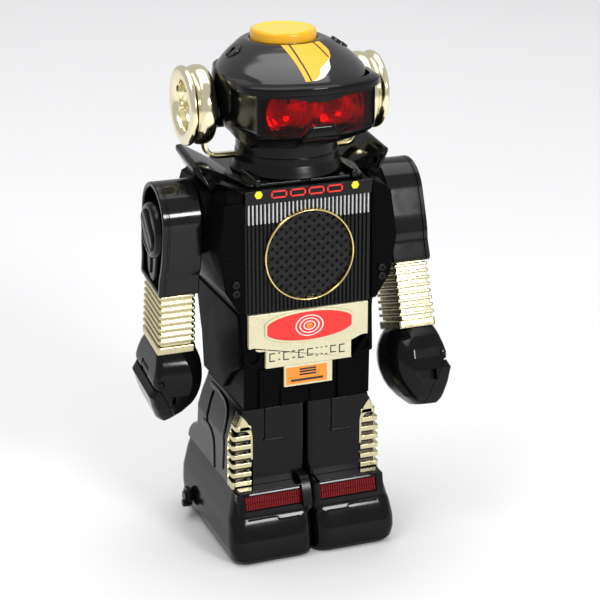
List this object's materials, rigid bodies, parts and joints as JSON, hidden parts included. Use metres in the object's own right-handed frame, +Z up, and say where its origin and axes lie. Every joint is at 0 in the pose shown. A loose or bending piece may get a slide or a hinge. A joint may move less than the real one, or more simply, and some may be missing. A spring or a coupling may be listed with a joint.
{
  "type": "walking toy robot",
  "caption": "Walking toy robot with swinging arms, claw hands, sliding feet on rollers, a chest speaker, a red visor, metallised ear horns and a push button on its head.",
  "frame": {"origin": "on the floor, at the middle of the bounding box seen from above", "axes": "+Z up, the robot faces -Y, its own left side is +X"},
  "size_m": [0.1428, 0.097, 0.256],
  "materials": {
    "black_gloss": "glossy moulded black plastic, slightly dusty",
    "black_satin": "satin black plastic",
    "metallised": "vacuum metallised pale gold plastic",
    "red_clear": "transparent red moulded lens",
    "yellow_gloss": "glossy yellow plastic",
    "silver_fin": "hot-stamped silver",
    "speaker_black": "satin black grille",
    "sticker_yellow": "printed yellow sticker with two black lines",
    "sticker_red": "printed red",
    "sticker_orange": "printed orange label",
    "reflector": "metallised reflector",
    "lamp_glass": "clear lamp glass",
    "board_green": "printed circuit board",
    "cell_wrap": "printed cell sleeve",
    "motor_can": "plated motor can",
    "speaker_steel": "plated steel",
    "steel": "bright steel",
    "gear_white": "natural nylon"
  },
  "bodies": {
    "torso": {"torso_front_shell": "black_gloss", "torso_rear_shell": "black_satin", "shell_screws": "steel", "battery_cells": "cell_wrap", "chest_panel": "black_satin", "chest_fins": "silver_fin", "header_sticker": "sticker_red", "speaker_ring": "metallised", "speaker_grille": "speaker_black", "speaker_driver": "speaker_steel", "badge_plate": "metallised", "badge_emblem": "sticker_red", "badge_label": "sticker_orange", "chest_bolts": "black_gloss", "collar": "black_gloss", "circuit_board": "board_green", "neck": "black_gloss", "head_dome": "black_gloss", "head_face_frame": "black_gloss", "visor_lens": "red_clear", "eye_reflector": "reflector", "eye_lamps": "lamp_glass", "dome_stripe": "sticker_yellow", "right_ear_horn": "metallised", "left_ear_horn": "metallised", "ear_straps": "metallised", "button_spring": "steel", "button_switch": "black_satin", "gearbox_frame": "gear_white", "motor": "motor_can"},
    "head_button": {"head_button": "yellow_gloss"},
    "battery_door": {"battery_door": "black_satin"},
    "motor_pinion": {"motor_pinion": "gear_white"},
    "crank": {"drive_gear": "gear_white", "crank_shaft": "steel"},
    "mode_knob": {"mode_knob": "black_satin"},
    "right_arm": {"right_shoulder_shell": "black_gloss", "right_shoulder_cap": "black_gloss", "right_forearm": "metallised", "right_hand": "black_gloss"},
    "right_jaw": {"right_jaw": "black_gloss"},
    "right_leg": {"right_leg_shell": "black_gloss", "right_sole_plate": "black_satin", "right_shin_grille": "metallised", "right_foot_lens": "red_clear", "foot_bridge": "black_gloss"},
    "right_front_roller": {"right_front_roller": "black_satin"},
    "right_rear_roller": {"right_rear_roller": "black_satin"},
    "left_arm": {"left_shoulder_shell": "black_gloss", "left_shoulder_cap": "black_gloss", "left_forearm": "metallised", "left_hand": "black_gloss"},
    "left_jaw": {"left_jaw": "black_gloss"},
    "left_leg": {"left_leg_shell": "black_gloss", "left_sole_plate": "black_satin", "left_shin_grille": "metallised", "left_foot_lens": "red_clear"},
    "left_front_roller": {"left_front_roller": "black_satin"},
    "left_rear_roller": {"left_rear_roller": "black_satin"}
  },
  "joints": [
    {"name": "right_arm_swing", "type": "hinge", "parent": "torso", "child": "right_arm", "pos_m": [-0.047, 0.0045, 0.1685], "axis": [1, 0, 0], "range_deg": [-98.1, 36.9]},
    {"name": "right_jaw_open", "type": "hinge", "parent": "right_arm", "child": "right_jaw", "pos_m": [-0.0663, 0.01584, 0.0888], "axis": [0, 0.99, 0.1409], "range_deg": [0, 35]},
    {"name": "left_arm_swing", "type": "hinge", "parent": "torso", "child": "left_arm", "pos_m": [0.047, 0.0045, 0.1685], "axis": [1, 0, 0], "range_deg": [-70.1, 64.9]},
    {"name": "left_jaw_open", "type": "hinge", "parent": "left_arm", "child": "left_jaw", "pos_m": [0.0663, -0.0229, 0.09281], "axis": [0, -0.9403, 0.3404], "range_deg": [0, 35]},
    {"name": "button_press", "type": "slide", "parent": "torso", "child": "head_button", "axis": [0, 0, -1], "range_m": [0, 0.0025], "stiffness_N_per_m": 400, "springref_m": -0.001, "deforming": ["button_spring"]},
    {"name": "battery_door_hinge", "type": "hinge", "parent": "torso", "child": "battery_door", "pos_m": [0, 0.0369, 0.1236], "axis": [-1, 0, 0], "range_deg": [0, 70]},
    {"name": "right_leg_stride", "type": "slide", "parent": "torso", "child": "right_leg", "axis": [0, 1, 0], "range_m": [-0.004, 0.004]},
    {"name": "right_front_roller_spin", "type": "hinge", "parent": "right_leg", "child": "right_front_roller", "pos_m": [-0.0216, -0.0195, 0.00665], "axis": [1, 0, 0], "continuous": true},
    {"name": "right_rear_roller_spin", "type": "hinge", "parent": "right_leg", "child": "right_rear_roller", "pos_m": [-0.0216, 0.0285, 0.00665], "axis": [1, 0, 0], "continuous": true},
    {"name": "left_leg_stride", "type": "slide", "parent": "torso", "child": "left_leg", "axis": [0, 1, 0], "range_m": [-0.004, 0.004]},
    {"name": "left_front_roller_spin", "type": "hinge", "parent": "left_leg", "child": "left_front_roller", "pos_m": [0.0216, -0.0195, 0.00665], "axis": [1, 0, 0], "continuous": true},
    {"name": "left_rear_roller_spin", "type": "hinge", "parent": "left_leg", "child": "left_rear_roller", "pos_m": [0.0216, 0.0285, 0.00665], "axis": [1, 0, 0], "continuous": true},
    {"name": "crank_spin", "type": "hinge", "parent": "torso", "child": "crank", "pos_m": [0, 0.0005, 0.109], "axis": [1, 0, 0], "continuous": true},
    {"name": "pinion_spin", "type": "hinge", "parent": "torso", "child": "motor_pinion", "pos_m": [0.0235, 0.0205, 0.109], "axis": [1, 0, 0], "continuous": true},
    {"name": "mode_knob_turn", "type": "hinge", "parent": "right_leg", "child": "mode_knob", "pos_m": [-0.0455, 0.0255, 0.0105], "axis": [1, 0, 0], "range_deg": [-40, 40]}
  ],
  "couplings": [
    {"joint": "pinion_spin", "follows": "crank_spin", "ratio": -4},
    {"joint": "left_leg_stride", "follows": "right_leg_stride", "ratio": -1}
  ]
}
